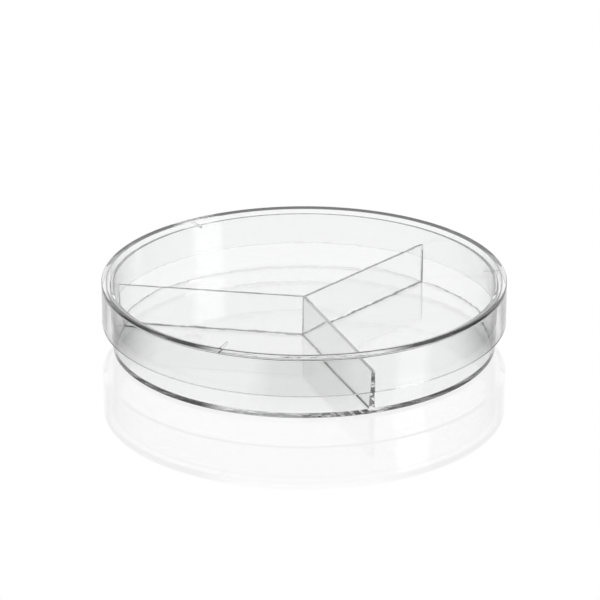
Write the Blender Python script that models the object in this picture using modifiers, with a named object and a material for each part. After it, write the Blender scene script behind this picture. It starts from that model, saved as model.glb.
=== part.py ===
"""Three-compartment petri dish: a flat-floored base dish, a Y-shaped divider and a lid that rests over the base.

Metres, +Z up. The origin is on the dish's axis, on the surface that the dish stands on.
"""

from math import cos, pi, radians, sin

import bmesh
import bpy

# Overall
OVERALL_HEIGHT = 0.0162
MESH_GAP = 0.0003  # left between pieces that touch on the real dish
TURN_STEPS = 96

# Lid: a plate and a skirt, with vent ribs that rest on the base's rim
LID_RADIUS = 0.047
LID_WALL = 0.001
LID_PLATE = 0.0012
LID_SKIRT = 0.0101
LID_EDGE_ROUND = 0.0002
LID_CORNER_ROUND = 0.0003
LID_TIP_ROUND = 0.00015

VENT_RIB_ANGLES = (6, 126, 246)
VENT_RIB_LENGTH = 0.004
VENT_RIB_WIDTH = 0.0004
VENT_RIB_HEIGHT = 0.0005
VENT_RIB_SINK = 0.0003  # how far a rib is sunk into the plate and the skirt that it is moulded on

# Base dish: a floor and a wall that leans out a little, as a moulding's draft
BASE_RADIUS = 0.0446
BASE_DRAFT = 0.0005
BASE_WALL = 0.0008
BASE_FLOOR = 0.001
BASE_HEIGHT = OVERALL_HEIGHT - LID_PLATE - VENT_RIB_HEIGHT - MESH_GAP
BASE_FOOT_ROUND = 0.0002
BASE_CORNER_ROUND = 0.0003
BASE_RIM_ROUND = 0.0002

# Divider: three upright walls that meet on the axis
DIVIDER_ANGLES = (50, 170, 290)
DIVIDER_TOP = 0.01045
DIVIDER_FOOT_THICKNESS = 0.0012
DIVIDER_TOP_THICKNESS = 0.0008
DIVIDER_CORNER_ROUND = 0.0005
DIVIDER_REACH = BASE_RADIUS - BASE_WALL - MESH_GAP
DIVIDER_OVERLAP = 0.0002  # how far a wall runs past the axis, so that the three join

CLEAR_POLYSTYRENE = (0.93, 0.95, 0.95, 1.0)


def clear_scene():
    for thing in list(bpy.data.objects):
        bpy.data.objects.remove(thing, do_unlink=True)


def new_collection(name):
    collection = bpy.data.collections.new(name)
    bpy.context.scene.collection.children.link(collection)
    return collection


def clear_plastic(name):
    material = bpy.data.materials.new(name)
    material.use_nodes = True
    shader = material.node_tree.nodes["Principled BSDF"]
    shader.inputs["Base Color"].default_value = CLEAR_POLYSTYRENE
    shader.inputs["Metallic"].default_value = 0.0
    shader.inputs["Roughness"].default_value = 0.03
    shader.inputs["IOR"].default_value = 1.59
    shader.inputs["Transmission Weight"].default_value = 1.0
    return material


def arc(centre_x, centre_z, radius, start, end, steps=4):
    """Points on an arc in the XZ plane, with its angles in degrees from +X towards +Z."""
    angles = [radians(start + (end - start) * step / steps) for step in range(steps + 1)]
    return [(centre_x + radius * cos(a), centre_z + radius * sin(a)) for a in angles]


def turned(name, profile, collection):
    """A solid of revolution about Z. The profile runs down its outer side."""
    mesh = bpy.data.meshes.new(name)
    mesh.from_pydata([(x, 0, z) for x, z in profile], [(i, i + 1) for i in range(len(profile) - 1)], [])
    piece = bpy.data.objects.new(name, mesh)
    collection.objects.link(piece)
    screw = piece.modifiers.new("turn", "SCREW")
    screw.angle = 2 * pi
    screw.steps = TURN_STEPS
    screw.render_steps = TURN_STEPS
    screw.use_merge_vertices = True
    screw.merge_threshold = 0.00001
    screw.use_smooth_shade = True
    return piece


def block(name, low, high, collection, turn=0):
    """A box between two corners, turned about Z by an angle in degrees."""
    form = bmesh.new()
    bmesh.ops.create_cube(form, size=1)
    for vertex in form.verts:
        vertex.co = [low[i] + (vertex.co[i] + 0.5) * (high[i] - low[i]) for i in range(3)]
    mesh = bpy.data.meshes.new(name)
    form.to_mesh(mesh)
    form.free()
    piece = bpy.data.objects.new(name, mesh)
    piece.rotation_euler.z = radians(turn)
    collection.objects.link(piece)
    return piece


def join(piece, helper):
    """Joins a helper shape to a piece, and takes the helper out of the model."""
    helper.hide_render = True
    helper.display_type = "WIRE"
    union = piece.modifiers.new(helper.name, "BOOLEAN")
    union.operation = "UNION"
    union.solver = "EXACT"
    union.object = helper


def finish(piece):
    piece.data.materials.append(clear_plastic(piece.name + "_clear_polystyrene"))


def make_lid(parts, helpers):
    underside = OVERALL_HEIGHT - LID_PLATE
    skirt_foot = OVERALL_HEIGHT - LID_SKIRT
    inner = LID_RADIUS - LID_WALL
    edge, corner, tip = LID_EDGE_ROUND, LID_CORNER_ROUND, LID_TIP_ROUND
    profile = [(0, OVERALL_HEIGHT)]
    profile += arc(LID_RADIUS - edge, OVERALL_HEIGHT - edge, edge, 90, 0)
    profile += arc(LID_RADIUS - tip, skirt_foot + tip, tip, 0, -90, 3)
    profile += arc(inner + tip, skirt_foot + tip, tip, -90, -180, 3)
    profile += arc(inner - corner, underside - corner, corner, 0, 90)
    profile += [(0, underside)]
    lid = turned("lid", profile, parts)
    for angle in VENT_RIB_ANGLES:
        low = (inner - VENT_RIB_LENGTH, -VENT_RIB_WIDTH / 2, underside - VENT_RIB_HEIGHT)
        high = (inner + VENT_RIB_SINK, VENT_RIB_WIDTH / 2, underside + VENT_RIB_SINK)
        join(lid, block(f"vent_rib_{angle}", low, high, helpers, angle))
    finish(lid)


def make_base_dish(parts):
    rim_outer = BASE_RADIUS + BASE_DRAFT
    rim_inner = rim_outer - BASE_WALL
    floor_inner = BASE_RADIUS - BASE_WALL
    foot, corner, rim = BASE_FOOT_ROUND, BASE_CORNER_ROUND, BASE_RIM_ROUND
    profile = [(0, BASE_FLOOR)]
    profile += arc(floor_inner - corner, BASE_FLOOR + corner, corner, -90, 0)
    profile += arc(rim_inner + rim, BASE_HEIGHT - rim, rim, 180, 90, 3)
    profile += arc(rim_outer - rim, BASE_HEIGHT - rim, rim, 90, 0, 3)
    profile += arc(BASE_RADIUS - foot, foot, foot, 0, -90)
    profile += [(0, 0)]
    finish(turned("base_dish", profile, parts))


def divider_wall(name, angle, collection):
    """One upright wall from the axis outwards, thinner at its top, with its outer top corner rounded."""
    half = DIVIDER_FOOT_THICKNESS / 2
    low = (-DIVIDER_OVERLAP, -half, BASE_FLOOR + MESH_GAP)
    high = (DIVIDER_REACH, half, DIVIDER_TOP)
    wall = block(name, low, high, collection, angle)
    form = bmesh.new()
    form.from_mesh(wall.data)
    top = [vertex for vertex in form.verts if vertex.co.z > DIVIDER_TOP / 2]
    for vertex in top:
        vertex.co.y *= DIVIDER_TOP_THICKNESS / DIVIDER_FOOT_THICKNESS
    outer_top = [edge for edge in form.edges if all(v in top and v.co.x > DIVIDER_REACH / 2 for v in edge.verts)]
    bmesh.ops.bevel(form, geom=outer_top, offset=DIVIDER_CORNER_ROUND, segments=4, profile=0.5, affect="EDGES")
    form.to_mesh(wall.data)
    form.free()
    return wall


def make_divider(parts, helpers):
    first, *others = DIVIDER_ANGLES
    divider = divider_wall("divider", first, parts)
    for angle in others:
        join(divider, divider_wall(f"divider_wall_{angle}", angle, helpers))
    finish(divider)


clear_scene()
dish = new_collection("petri_dish")
joined_shapes = new_collection("joined_shapes")
make_lid(dish, joined_shapes)
make_base_dish(dish)
make_divider(dish, joined_shapes)
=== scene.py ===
from math import cos, degrees, pi, radians, sin

import bpy
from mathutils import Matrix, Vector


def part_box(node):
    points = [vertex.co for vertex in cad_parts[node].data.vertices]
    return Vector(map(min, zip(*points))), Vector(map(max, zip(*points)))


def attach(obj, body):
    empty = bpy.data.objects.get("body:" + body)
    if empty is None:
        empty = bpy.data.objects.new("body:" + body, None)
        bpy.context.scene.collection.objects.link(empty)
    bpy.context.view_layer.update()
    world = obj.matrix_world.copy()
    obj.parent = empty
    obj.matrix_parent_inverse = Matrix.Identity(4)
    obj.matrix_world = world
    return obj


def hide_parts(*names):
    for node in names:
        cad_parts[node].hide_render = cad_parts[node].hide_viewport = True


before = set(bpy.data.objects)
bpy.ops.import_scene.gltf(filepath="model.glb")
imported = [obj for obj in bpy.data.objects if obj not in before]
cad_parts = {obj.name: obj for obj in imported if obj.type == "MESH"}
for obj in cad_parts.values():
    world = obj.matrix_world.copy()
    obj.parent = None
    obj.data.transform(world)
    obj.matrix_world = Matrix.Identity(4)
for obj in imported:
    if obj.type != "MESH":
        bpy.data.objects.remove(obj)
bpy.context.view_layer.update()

# ---- Lid ----------------------------------------------------------------------------------------------
# The lid is one thin injection moulding of clear polystyrene: a flat round plate with a short skirt turned
# down all round, and edges that the tool leaves a little round. Three small ribs moulded under the plate,
# against the skirt, hold it up off the base's rim so that the dish can breathe.


class Signal:
    """One output of a node. Arithmetic on it adds the Math nodes that work it out."""

    def __init__(self, graph, socket):
        self.graph = graph
        self.socket = socket

    def maths(self, operation, *others):
        return self.graph.maths(operation, self, *others)

    def __add__(self, other):
        return self.maths("ADD", other)

    def __sub__(self, other):
        return self.maths("SUBTRACT", other)

    def __mul__(self, other):
        return self.maths("MULTIPLY", other)

    def __truediv__(self, other):
        return self.maths("DIVIDE", other)

    def __pow__(self, other):
        return self.maths("POWER", other)

    def __rsub__(self, other):
        return self.graph.maths("SUBTRACT", other, self)

    def __rtruediv__(self, other):
        return self.graph.maths("DIVIDE", other, self)

    __radd__ = __add__
    __rmul__ = __mul__

    def at_least(self, value):
        return self.maths("MAXIMUM", value)

    def at_most(self, value):
        return self.maths("MINIMUM", value)

    def clamp(self):
        return self.graph.add("ShaderNodeClamp", {}, {"Value": self})


class Graph:
    """The nodes of one shader or geometry tree."""

    def __init__(self, tree):
        self.tree = tree

    def add(self, kind, settings=None, inputs=None, output=0):
        """Adds a node: its settings come first, then the value, the link or the list of links of each
        input."""
        node = self.tree.nodes.new(kind)
        for name, value in (settings or {}).items():
            if name == "stops":
                while len(node.color_ramp.elements) < len(value):
                    node.color_ramp.elements.new(1.0)
                for element, (position, grey) in zip(node.color_ramp.elements, value):
                    element.position = position
                    element.color = (grey, grey, grey, 1.0)
            else:
                setattr(node, name, value)
        for key, value in (inputs or {}).items():
            for item in value if isinstance(value, list) else [value]:
                if isinstance(item, Signal):
                    self.tree.links.new(item.socket, node.inputs[key])
                else:
                    node.inputs[key].default_value = item
        return Signal(self, node.outputs[output])

    def maths(self, operation, *operands):
        return self.add("ShaderNodeMath", {"operation": operation}, dict(enumerate(operands)))

    def vector(self, x, y, z):
        return self.add("ShaderNodeCombineXYZ", {}, {"X": x, "Y": y, "Z": z})


def geometry_tree(name, **sizes):
    """A geometry tree with a named input for each size. Returns the graph, its input signals and its output
    node."""
    tree = bpy.data.node_groups.new(name, "GeometryNodeTree")
    tree.interface.new_socket("Geometry", in_out="INPUT", socket_type="NodeSocketGeometry")
    tree.interface.new_socket("Geometry", in_out="OUTPUT", socket_type="NodeSocketGeometry")
    for label, value in sizes.items():
        kind = "NodeSocketInt" if isinstance(value, int) else "NodeSocketFloat"
        socket = tree.interface.new_socket(label, in_out="INPUT", socket_type=kind)
        socket.default_value = value
    graph = Graph(tree)
    entry = tree.nodes.new("NodeGroupInput")
    given = {socket.name: Signal(graph, socket) for socket in entry.outputs if socket.name}
    return graph, given, tree.nodes.new("NodeGroupOutput")


def outline_object(name, corners, path_radius, closed=False):
    """A polyline for the trees to sweep: its X runs outwards from the path, its Y runs down, and 'round' is
    the radius of each corner."""
    mesh = bpy.data.meshes.new(name)
    points = [(x - path_radius, -z, 0) for x, z, _ in corners]
    count = len(points)
    mesh.from_pydata(points, [(i, (i + 1) % count) for i in range(count if closed else count - 1)], [])
    rounds = mesh.attributes.new("round", "FLOAT", "POINT")
    rounds.data.foreach_set("value", [corner[2] for corner in corners])
    piece = bpy.data.objects.new(name, mesh)
    bpy.context.scene.collection.objects.link(piece)
    return piece


def turned_body(graph, given):
    """Nodes that round the outline's corners and turn it about Z into a closed body."""
    curve = graph.add("GeometryNodeMeshToCurve", {}, {"Mesh": given["Geometry"]})
    corner = graph.add("GeometryNodeInputNamedAttribute", {"data_type": "FLOAT"}, {"Name": "round"})
    rounded = graph.add(
        "GeometryNodeFilletCurve",
        {"mode": "POLY"},
        {"Curve": curve, "Count": given["corner_steps"], "Radius": corner},
    )
    path = graph.add(
        "GeometryNodeCurvePrimitiveCircle",
        {},
        {"Resolution": given["turn_steps"], "Radius": given["path_radius"]},
    )
    swept = graph.add("GeometryNodeCurveToMesh", {}, {"Curve": path, "Profile Curve": rounded})
    return graph.add("GeometryNodeMergeByDistance", {}, {"Geometry": swept, "Distance": WELD})


def placed_round(graph, shape, count, first_angle, radius, height):
    """Nodes that set copies of a shape at even angles about Z, each with its X pointing outwards."""
    index = graph.add("GeometryNodeInputIndex")
    angle = first_angle + index * (2 * pi) / count
    place = graph.vector(angle.maths("COSINE") * radius, angle.maths("SINE") * radius, height)
    points = graph.add("GeometryNodePoints", {}, {"Count": count, "Position": place})
    turn = graph.add("FunctionNodeEulerToRotation", {}, {"Euler": graph.vector(0.0, 0.0, angle)})
    return graph.add(
        "GeometryNodeInstanceOnPoints", {}, {"Points": points, "Instance": shape, "Rotation": turn}
    )


def join_and_output(graph, output, bodies, material):
    """Nodes that unite bodies into one solid and give it its material."""
    real = [graph.add("GeometryNodeRealizeInstances", {}, {"Geometry": body}) for body in bodies]
    united = graph.add(
        "GeometryNodeMeshBoolean",
        {"operation": "UNION", "solver": "EXACT"},
        {1: real, "Self Intersection": True},
    )
    coloured = graph.add("GeometryNodeSetMaterial", {}, {"Geometry": united, "Material": material})
    graph.tree.links.new(coloured.socket, output.inputs[0])


def moulded(source, name, tree, crease):
    """Runs a geometry tree on an object and replaces the object with the plain mesh that it makes."""
    source.modifiers.new("build", "NODES").node_group = tree
    mesh = bpy.data.meshes.new_from_object(source.evaluated_get(bpy.context.evaluated_depsgraph_get()))
    bpy.data.objects.remove(source)
    mesh.name = name
    mesh.shade_smooth()
    mesh.set_sharp_from_angle(angle=crease)
    piece = bpy.data.objects.new(name, mesh)
    bpy.context.scene.collection.objects.link(piece)
    return piece


POLYSTYRENE_IOR = 1.59
TURN_STEPS = 256
CORNER_STEPS = 10
CREASE = radians(11)
MM = 0.001
KEEP = 0.06 * MM  # a point this near a rounded corner keeps the flat beside it flat in the shading
WELD = 0.001 * MM

lid_low, lid_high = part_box("lid")
LID_RADIUS = lid_high[0]
LID_TOP = lid_high[2]
LID_FOOT = lid_low[2]
LID_WALL = 1.0 * MM
LID_PLATE = 1.2 * MM
LID_EDGE = 0.2 * MM
LID_CORNER = 0.25 * MM
LID_TIP = 0.03 * MM
RIB_COUNT = 3
RIB_ANGLE = radians(6)
RIB_LENGTH = 4.0 * MM
RIB_WIDTH = 0.4 * MM
RIB_HEIGHT = 0.5 * MM
RIB_SINK = 0.3 * MM
RIB_END_ROUND = 0.45  # as a share of the rib's width
RIB_END_STEPS = 5

TINT_LOW = (0.985, 0.989, 0.988, 1.0)
TINT_HIGH = (0.995, 0.997, 0.996, 1.0)
MOTTLE_SCALE = 60.0
MOTTLE_DETAIL = 4.0
MOTTLE_CONTRAST = 1.4
MOTTLE_FLOOR = 0.2
MOTTLE_ROUGHNESS = 0.006
FLOW_SCALE = 90.0
FLOW_DETAIL = 3.0
RIPPLE_SCALE = 420.0
RIPPLE_HEIGHT = 0.12  # as a share of the flow waves' height, as the hair scratches' depth is
HAIR_ALONG_Y = {"scale": 900.0, "stretch": (1.0, 0.02, 0.3), "turn": radians(25)}
HAIR_ALONG_X = {"scale": 760.0, "stretch": (0.02, 1.0, 0.3), "turn": radians(-15)}
HAIR_FLOOR_Y = 0.66
HAIR_FLOOR_X = 0.67
HAIR_CONTRAST = 9.0
HAIR_DEPTH = 0.02
HAIR_ROUGHNESS = 0.05
POLISH = 0.004
WAVE_HEIGHT = 0.02 * MM


def clear_polystyrene(name, seed):
    """Polished clear polystyrene. Slow waves in the surface come from the melt's flow, and hair scratches
    from handling."""
    material = bpy.data.materials.new(name)
    material.use_nodes = True
    graph = Graph(material.node_tree)
    shader = material.node_tree.nodes["Principled BSDF"]
    shader.inputs["IOR"].default_value = POLYSTYRENE_IOR
    shader.inputs["Transmission Weight"].default_value = 1.0
    place = graph.add("ShaderNodeTexCoord", {}, {}, "Object")
    shifted = graph.add("ShaderNodeMapping", {}, {"Vector": place, "Location": (seed, seed / 3, 0.0)})

    def noise(scale, detail=2.0, stretch=(1.0, 1.0, 1.0), turn=0.0):
        lined = graph.add(
            "ShaderNodeMapping", {}, {"Vector": shifted, "Scale": stretch, "Rotation": (0.0, 0.0, turn)}
        )
        return graph.add("ShaderNodeTexNoise", {}, {"Vector": lined, "Scale": scale, "Detail": detail})

    flow = noise(FLOW_SCALE, FLOW_DETAIL)
    ripple = noise(RIPPLE_SCALE)
    hairs_y = ((noise(**HAIR_ALONG_Y) - HAIR_FLOOR_Y) * HAIR_CONTRAST).clamp()
    hairs_x = ((noise(**HAIR_ALONG_X) - HAIR_FLOOR_X) * HAIR_CONTRAST).clamp()
    hairs = hairs_y + hairs_x
    mottle = noise(MOTTLE_SCALE, MOTTLE_DETAIL)
    patches = (mottle * MOTTLE_CONTRAST - MOTTLE_FLOOR).clamp()
    tone = graph.add("ShaderNodeMix", {"data_type": "RGBA"}, {0: patches, 6: TINT_LOW, 7: TINT_HIGH}, 2)
    material.node_tree.links.new(tone.socket, shader.inputs["Base Color"])
    rough = POLISH + hairs * HAIR_ROUGHNESS + mottle * MOTTLE_ROUGHNESS
    material.node_tree.links.new(rough.socket, shader.inputs["Roughness"])
    relief = flow + ripple * RIPPLE_HEIGHT - hairs * HAIR_DEPTH
    bump = graph.add("ShaderNodeBump", {}, {"Height": relief, "Strength": 1.0, "Distance": WAVE_HEIGHT})
    material.node_tree.links.new(bump.socket, shader.inputs["Normal"])
    return material


lid_inner = LID_RADIUS - LID_WALL
lid_under = LID_TOP - LID_PLATE
lid_outline = [
    (0.0, LID_TOP, 0.0),
    (LID_RADIUS - LID_EDGE - KEEP, LID_TOP, 0.0),
    (LID_RADIUS, LID_TOP, LID_EDGE),
    (LID_RADIUS, LID_TOP - LID_EDGE - KEEP, 0.0),
    (LID_RADIUS, LID_FOOT + LID_TIP + KEEP, 0.0),
    (LID_RADIUS, LID_FOOT, LID_TIP),
    (lid_inner, LID_FOOT, LID_TIP),
    (lid_inner, LID_FOOT + LID_TIP + KEEP, 0.0),
    (lid_inner, lid_under - LID_CORNER - KEEP, 0.0),
    (lid_inner, lid_under, LID_CORNER),
    (lid_inner - LID_CORNER - KEEP, lid_under, 0.0),
    (0.0, lid_under, 0.0),
]
graph, given, output = geometry_tree(
    "lid_moulding",
    path_radius=LID_RADIUS,
    turn_steps=TURN_STEPS,
    corner_steps=CORNER_STEPS,
    rib_count=RIB_COUNT,
    rib_angle=RIB_ANGLE,
    rib_length=RIB_LENGTH,
    rib_width=RIB_WIDTH,
    rib_height=RIB_HEIGHT,
    rib_sink=RIB_SINK,
)
plan = graph.add(
    "GeometryNodeCurvePrimitiveQuadrilateral",
    {},
    {"Width": given["rib_length"] + given["rib_sink"], "Height": given["rib_width"]},
)
plan = graph.add(
    "GeometryNodeFilletCurve",
    {"mode": "POLY"},
    {"Curve": plan, "Count": RIB_END_STEPS, "Radius": given["rib_width"] * RIB_END_ROUND},
)
rib_foot = graph.vector(0.0, 0.0, 0.0 - given["rib_height"])
rib_head = graph.vector(0.0, 0.0, given["rib_sink"])
rise = graph.add("GeometryNodeCurvePrimitiveLine", {}, {"Start": rib_foot, "End": rib_head})
rib = graph.add("GeometryNodeCurveToMesh", {}, {"Curve": rise, "Profile Curve": plan, "Fill Caps": True})
ribs = placed_round(
    graph,
    rib,
    given["rib_count"],
    given["rib_angle"],
    lid_inner + (given["rib_sink"] - given["rib_length"]) * 0.5,
    lid_under,
)
join_and_output(
    graph, output, [turned_body(graph, given), ribs], clear_polystyrene("lid_clear_polystyrene", 3.0)
)
lid = moulded(outline_object("lid_outline", lid_outline, LID_RADIUS), "lid_moulding", graph.tree, CREASE)
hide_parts("lid")
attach(lid, "lid")

# ---- Base dish and divider ----------------------------------------------------------------------------
# The base is the second moulding: a flat floor, a thin wall with a little draft, and three upright divider
# walls in a Y that split it into compartments. All of it is one piece of clear polystyrene from one tool,
# so the dividers run into the floor and the wall with small radii and no seam.
base_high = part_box("base_dish")[1]
BASE_RADIUS = 44.6 * MM
BASE_RIM_RADIUS = base_high[0]
BASE_RIM = base_high[2]
BASE_WALL = 0.8 * MM
BASE_FLOOR = 1.0 * MM
BASE_FOOT_ROUND = 0.2 * MM
BASE_CORNER = 0.25 * MM
BASE_RIM_ROUND = 0.15 * MM
DIVIDER_COUNT = 3
DIVIDER_ANGLE = radians(50)
DIVIDER_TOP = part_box("divider")[1][2]
DIVIDER_FOOT_THICKNESS = 1.2 * MM
DIVIDER_TOP_THICKNESS = 0.8 * MM
DIVIDER_FILLET = 0.14 * MM
DIVIDER_EDGE = 0.05 * MM
DIVIDER_SINK = 0.3 * MM
DIVIDER_STATIONS = 24
FILLET_TOE = 0.985  # the share of its radius at which the fillet by the wall stops flaring
FILLET_STEP = 0.01 * MM  # the toe stands this much clear of the floor, so that the two meet at an angle

floor_inner = BASE_RADIUS - BASE_WALL
rim_inner = BASE_RIM_RADIUS - BASE_WALL
base_outline = [
    (0.0, BASE_FLOOR, 0.0),
    (floor_inner - BASE_CORNER - KEEP, BASE_FLOOR, 0.0),
    (floor_inner, BASE_FLOOR, BASE_CORNER),
    (floor_inner, BASE_FLOOR + BASE_CORNER + KEEP, 0.0),
    (rim_inner, BASE_RIM - BASE_RIM_ROUND - KEEP, 0.0),
    (rim_inner, BASE_RIM, BASE_RIM_ROUND),
    (BASE_RIM_RADIUS, BASE_RIM, BASE_RIM_ROUND),
    (BASE_RIM_RADIUS, BASE_RIM - BASE_RIM_ROUND - KEEP, 0.0),
    (BASE_RADIUS, BASE_FOOT_ROUND + KEEP, 0.0),
    (BASE_RADIUS, 0.0, BASE_FOOT_ROUND),
    (BASE_RADIUS - BASE_FOOT_ROUND - KEEP, 0.0, 0.0),
    (0.0, 0.0, 0.0),
]
graph, given, output = geometry_tree(
    "base_moulding",
    path_radius=BASE_RADIUS,
    turn_steps=TURN_STEPS,
    corner_steps=CORNER_STEPS,
    divider_count=DIVIDER_COUNT,
    divider_angle=DIVIDER_ANGLE,
    divider_fillet=DIVIDER_FILLET,
)
half_foot = DIVIDER_FOOT_THICKNESS / 2
half_top = DIVIDER_TOP_THICKNESS / 2
toe = BASE_FLOOR + FILLET_STEP
lean = (half_foot - half_top) / (DIVIDER_TOP - toe)
upper = DIVIDER_TOP - DIVIDER_EDGE - KEEP
lower = toe + DIVIDER_FILLET + KEEP
section = [
    (half_top - DIVIDER_EDGE - KEEP, DIVIDER_TOP, 0.0),
    (half_top, DIVIDER_TOP, DIVIDER_EDGE),
    (half_top + lean * (DIVIDER_TOP - upper), upper, 0.0),
    (half_top + lean * (DIVIDER_TOP - lower), lower, 0.0),
    (half_foot, toe, DIVIDER_FILLET),
    (half_foot + DIVIDER_FILLET, toe, 0.0),
    (half_foot + DIVIDER_FILLET, BASE_FLOOR - DIVIDER_SINK, 0.0),
]
section += [(-y, z, corner) for y, z, corner in reversed(section)]
section_object = outline_object("divider_section", section, 0.0, closed=True)
fillet = given["divider_fillet"]

index = graph.add("GeometryNodeInputIndex")
line = graph.add("GeometryNodeMeshLine", {}, {"Count": DIVIDER_STATIONS, "Offset": (MM, 0.0, 0.0)})
sweep = (index - 1.0) / (DIVIDER_STATIONS - 2) * (pi / 2)
near_wall = floor_inner - fillet + (fillet + DIVIDER_SINK) * sweep.maths("SINE")
is_outer = index.at_most(1.0)
station = graph.vector(is_outer * (near_wall + DIVIDER_SINK) - DIVIDER_SINK, 0.0, 0.0)
line = graph.add("GeometryNodeSetPosition", {}, {"Geometry": line, "Position": station})
path = graph.add("GeometryNodeMeshToCurve", {}, {"Mesh": line})
info = graph.add("GeometryNodeObjectInfo", {}, {"Object": section_object}, "Geometry")
shape = graph.add("GeometryNodeMeshToCurve", {}, {"Mesh": info})
corner = graph.add("GeometryNodeInputNamedAttribute", {"data_type": "FLOAT"}, {"Name": "round"})
shape = graph.add(
    "GeometryNodeFilletCurve",
    {"mode": "POLY"},
    {"Curve": shape, "Count": given["corner_steps"], "Radius": corner},
)
wall = graph.add("GeometryNodeCurveToMesh", {}, {"Curve": path, "Profile Curve": shape, "Fill Caps": True})
position = graph.add("GeometryNodeInputPosition")
x, y, z = (graph.add("ShaderNodeSeparateXYZ", {}, {"Vector": position}, axis) for axis in "XYZ")
wall_lean = (rim_inner - floor_inner) / BASE_RIM
clear = (floor_inner + z * wall_lean - x).at_least(0.0)
into = (1.0 - clear / fillet).at_least(0.0).at_most(FILLET_TOE)
flare = fillet * (1.0 - (1.0 - into * into) ** 0.5)
offset = graph.vector(0.0, y.maths("SIGN") * flare, 0.0)
wall = graph.add("GeometryNodeSetPosition", {}, {"Geometry": wall, "Offset": offset})
walls = placed_round(graph, wall, given["divider_count"], given["divider_angle"], 0.0, 0.0)
join_and_output(
    graph, output, [turned_body(graph, given), walls], clear_polystyrene("base_clear_polystyrene", 8.0)
)
base_object = outline_object("base_outline", base_outline, BASE_RADIUS)
base = moulded(base_object, "base_moulding", graph.tree, CREASE)
bpy.data.objects.remove(section_object)
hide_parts("base_dish", "divider")
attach(base, "base")

# ---- Table, light and camera --------------------------------------------------------------------------
# A white polished table in front of a white backdrop, with the rest of the room dark, as clear ware is lit
# so that its edges draw themselves in black. The table is no lamp but glows, and its glow is painted light:
# dark for rays that have turned a few times inside the plastic, paler again for rays that have run the
# whole width of a plate, and beyond the dish a painted shade darkens it by bearing. The sky's light follows
# the number of turns in the same way. One softbox stands at the right. Each list below pairs a number of
# turns, a bearing in degrees or a height with a brightness.
TABLE_HALF = 3.0
TABLE_GAP = 0.05 * MM
TABLE_IOR = 1.55
TABLE_ROUGHNESS = 0.03
TABLE_FADE = 10 * MM
HALF_TURN = 180.0
MOST_TURNS = 32.0
MOST_BOUNCES = 64
MIRROR_TURNS = 9.5
# Painted glow of the table by number of turns, and painted shade of the table by bearing beyond the dish.
TABLE_PAINTED_GLOW_BY_TURNS = [(0, 1.0), (1, 0.92), (2, 0.4), (3, 0.15), (5, 0.04), (9, 0.04), (12, 0.04), (16, 0.3)]
SKY_BY_TURNS = [(0, 1.0), (1, 1.0), (2, 0.6), (3, 0.3), (5, 0.04), (9, 0.04), (12, 0.5), (17, 0.9)]
TABLE_PAINTED_SHADE_BY_BEARING = [
    (0, 0.15), (12, 0.2), (21, 0.95), (60, 0.95), (72, 0.45), (80, 0.2), (86, 0.25), (94, 0.9)
]
SKY_BY_HEIGHT = [(0.0, 1.0), (0.55, 1.0), (0.7, 0.1), (1.0, 0.06)]
BACKDROP_BY_BEARING = [(0, 1.0), (17, 1.0), (26, 0.04)]
WHITE = (1.0, 1.0, 1.0, 1.0)


def ramp(graph, signal, most, stops):
    """A ramp of greys over 0 to most."""
    scaled = [(at / most, grey) for at, grey in stops]
    return graph.add("ShaderNodeValToRGB", {"stops": scaled}, {0: signal / most})


def table_painted_light_material():
    material = bpy.data.materials.new("white_table_painted_light")
    material.use_nodes = True
    graph = Graph(material.node_tree)
    material.node_tree.nodes.remove(material.node_tree.nodes["Principled BSDF"])
    place = graph.add("ShaderNodeTexCoord", {}, {}, "Object")
    x, y = (graph.add("ShaderNodeSeparateXYZ", {}, {"Vector": place}, axis) for axis in "XY")
    # The table's emission is painted light: its strength follows the ray's turns, times a painted shade by
    # bearing.
    turns = graph.add("ShaderNodeLightPath", {}, {}, "Glossy Depth")
    beyond = (((x * x + y * y) ** 0.5 - LID_RADIUS) / TABLE_FADE).clamp() * turns.at_most(1.0)
    bearing = x.maths("ABSOLUTE").maths("ARCTAN2", 0.0 - y) * degrees(1.0)
    shade = 1.0 - beyond * (1.0 - ramp(graph, bearing, HALF_TURN, TABLE_PAINTED_SHADE_BY_BEARING))
    light = ramp(graph, turns, MOST_TURNS, TABLE_PAINTED_GLOW_BY_TURNS) * shade
    glow = graph.add("ShaderNodeEmission", {}, {"Strength": light})
    gloss = graph.add("ShaderNodeBsdfGlossy", {}, {"Color": WHITE, "Roughness": TABLE_ROUGHNESS})
    fresnel = graph.add("ShaderNodeFresnel", {}, {"IOR": TABLE_IOR})
    mirror = fresnel.at_least(beyond * turns.maths("GREATER_THAN", MIRROR_TURNS))
    both = graph.add("ShaderNodeMixShader", {}, {0: mirror, 1: glow, 2: gloss})
    surface = material.node_tree.nodes["Material Output"].inputs["Surface"]
    material.node_tree.links.new(both.socket, surface)
    return material


bpy.ops.mesh.primitive_plane_add(size=2 * TABLE_HALF, location=(0, 0, -TABLE_GAP))
table = bpy.context.object
table.name = "table"
table.data.materials.append(table_painted_light_material())

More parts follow.
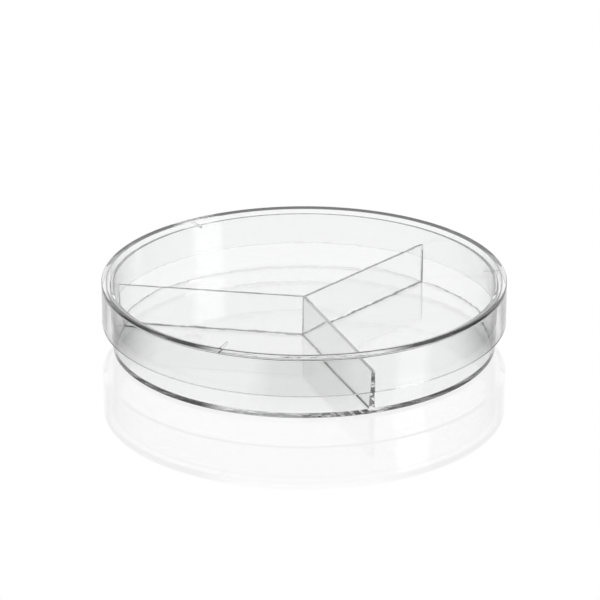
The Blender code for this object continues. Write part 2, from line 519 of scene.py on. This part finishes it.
world = bpy.data.worlds.new("surround")
bpy.context.scene.world = world
world.use_nodes = True
graph = Graph(world.node_tree)
direction = graph.add("ShaderNodeTexCoord", {}, {}, "Generated")
x, y, z = (graph.add("ShaderNodeSeparateXYZ", {}, {"Vector": direction}, axis) for axis in "XYZ")
shade = graph.add("ShaderNodeValToRGB", {"stops": SKY_BY_HEIGHT}, {0: z})
turns = graph.add("ShaderNodeLightPath", {}, {}, "Glossy Depth")
bearing = x.maths("ABSOLUTE").maths("ARCTAN2", y) * degrees(1.0)
backdrop = ramp(graph, bearing, HALF_TURN, BACKDROP_BY_BEARING)
level = ramp(graph, turns, MOST_TURNS, SKY_BY_TURNS) * (1.0 - (turns - 1.0).clamp() * (1.0 - backdrop))
camera_ray = graph.add("ShaderNodeLightPath", {}, {}, "Is Camera Ray")
seen = graph.add("ShaderNodeMix", {"data_type": "RGBA"}, {0: camera_ray, 6: shade, 7: WHITE}, 2)
background = world.node_tree.nodes["Background"]
world.node_tree.links.new(seen.socket, background.inputs["Color"])
world.node_tree.links.new(level.socket, background.inputs["Strength"])


def softbox(name, azimuth, elevation, distance, width, height, power):
    light = bpy.data.lights.new(name, "AREA")
    light.shape = "RECTANGLE"
    light.size = width
    light.size_y = height
    light.energy = power
    lamp = bpy.data.objects.new(name, light)
    lamp.location = (
        distance * cos(elevation) * cos(azimuth),
        distance * cos(elevation) * sin(azimuth),
        distance * sin(elevation),
    )
    lamp.rotation_euler = (-lamp.location).to_track_quat("-Z", "Y").to_euler()
    lamp.visible_camera = False
    bpy.context.scene.collection.objects.link(lamp)


softbox(
    "right_softbox",
    azimuth=radians(-27),
    elevation=radians(24),
    distance=0.6,
    width=0.20,
    height=0.40,
    power=0.7,
)

CAMERA_ELEVATION = radians(22.1)
CAMERA_DISTANCE = 0.85
CAMERA_AIM = 0.008
CAMERA_LENS = 219.0
CAMERA_SHIFT = (-0.0069, 0.0160)
camera_data = bpy.data.cameras.new("camera")
camera_data.lens = CAMERA_LENS
camera_data.sensor_width = 36.0
camera_data.shift_x, camera_data.shift_y = CAMERA_SHIFT
camera_data.clip_start = 0.01
camera = bpy.data.objects.new("camera", camera_data)
camera.location = (
    0.0,
    -CAMERA_DISTANCE * cos(CAMERA_ELEVATION),
    CAMERA_AIM + CAMERA_DISTANCE * sin(CAMERA_ELEVATION),
)
camera.rotation_euler = (pi / 2 - CAMERA_ELEVATION, 0.0, 0.0)
bpy.context.scene.collection.objects.link(camera)
scene = bpy.context.scene
scene.camera = camera
scene.view_settings.view_transform = "Standard"
scene.cycles.max_bounces = MOST_BOUNCES
scene.cycles.transmission_bounces = MOST_BOUNCES
scene.cycles.glossy_bounces = MOST_BOUNCES
